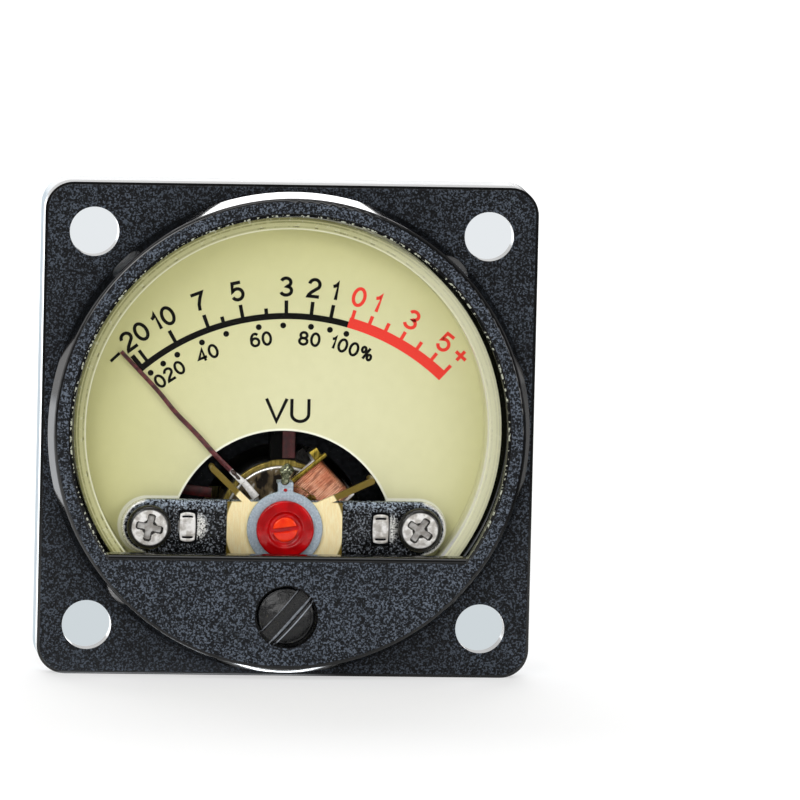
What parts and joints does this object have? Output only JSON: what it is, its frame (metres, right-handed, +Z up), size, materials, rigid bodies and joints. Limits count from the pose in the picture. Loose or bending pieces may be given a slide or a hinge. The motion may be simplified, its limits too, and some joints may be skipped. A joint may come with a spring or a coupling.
{
  "type": "analog vu meter",
  "caption": "Square-flanged panel meter with a raised round bezel, clear lens, printed VU dial, moving-coil pointer, zero screw and round rear case.",
  "frame": {"origin": "centre of the four fixing holes on the back face of the flange", "axes": "+Y along the meter's axis away from the viewer, +Z up, +X to the viewer's right; the dial faces -Y"},
  "size_m": [0.035, 0.024, 0.035],
  "materials": {
    "black_abs": "fine sand texture on the face, polished wall",
    "clear_polycarbonate": "clear, polished",
    "gloss_black_plastic": "glossy",
    "brass": "turned",
    "cream_plastic": "translucent, glossy",
    "dial_paint": "pale yellow-green paint with black and red print",
    "milky_acrylic": "milky, satin",
    "circuit_board": "solder mask",
    "lamp_package": "clear resin",
    "black_abs_case": "moulded, satin",
    "nickel_screw": "nickel plated",
    "dark_nickel": "dark nickel plating",
    "black_oxide_iron": "black oxide",
    "magnet_alloy": "ground",
    "olive_brass": "aged",
    "pale_brass": "stamped",
    "grey_nickel": "plated",
    "solder": "bright",
    "red_lacquered_screw": "lacquered",
    "red_lacquer": "lacquered",
    "phosphor_bronze": "rolled",
    "aluminium": "thin sheet",
    "copper_wire": "enamelled copper wire",
    "pointer_paint": "dark red paint",
    "pivot_steel": "polished",
    "tinned_brass": "tinned",
    "enamelled_wire": "enamelled copper"
  },
  "bodies": {
    "case": {"front_bezel": "black_abs", "clear_cover": "clear_polycarbonate", "dial_frame": "cream_plastic", "dial_plate": "dial_paint", "diffuser": "milky_acrylic", "lamp_board": "circuit_board", "lamp_leds": "lamp_package", "rear_case": "black_abs_case", "bracket_screws": "nickel_screw", "front_bracket": "dark_nickel", "yoke_ring": "black_oxide_iron", "core_magnet": "magnet_alloy", "core_frame": "olive_brass", "front_bridge": "pale_brass", "front_jewel_screw": "red_lacquered_screw", "front_lock_nut": "red_lacquer", "rear_bridge": "pale_brass", "rear_jewel_screw": "brass", "rear_lock_nut": "brass", "rear_spring_anchor": "brass", "rear_hairspring": "phosphor_bronze", "signal_terminals": "tinned_brass", "lamp_terminals": "tinned_brass", "coil_leads": "enamelled_wire"},
    "moving_coil": {"coil_former": "aluminium", "coil_winding": "copper_wire", "pointer": "pointer_paint", "pointer_seat": "aluminium", "balance_weights": "brass", "front_pivot": "pivot_steel", "rear_pivot": "pivot_steel", "front_collet": "brass", "rear_collet": "brass"},
    "zero_screw": {"zero_adjust_screw": "gloss_black_plastic", "zero_crank": "brass"},
    "zero_lever": {"zero_lever": "grey_nickel", "spring_solder": "solder", "front_hairspring": "phosphor_bronze"}
  },
  "joints": [
    {"name": "pointer_swing", "type": "hinge", "parent": "case", "child": "moving_coil", "pos_m": [0, -0.0018, -0.0071], "axis": [0, 1, 0], "range_deg": [-2, 95], "stiffness_Nm_per_rad": 0.000003},
    {"name": "zero_screw_turn", "type": "hinge", "parent": "case", "child": "zero_screw", "pos_m": [0, -0.0058, -0.013], "axis": [0, 1, 0], "range_deg": [-60, 60]},
    {"name": "zero_lever_turn", "type": "hinge", "parent": "case", "child": "zero_lever", "pos_m": [0, -0.0038, -0.0071], "axis": [0, 1, 0], "range_deg": [-9.4, 9.4]}
  ],
  "couplings": [
    {"joint": "zero_lever_turn", "follows": "zero_screw_turn", "ratio": -0.155}
  ]
}
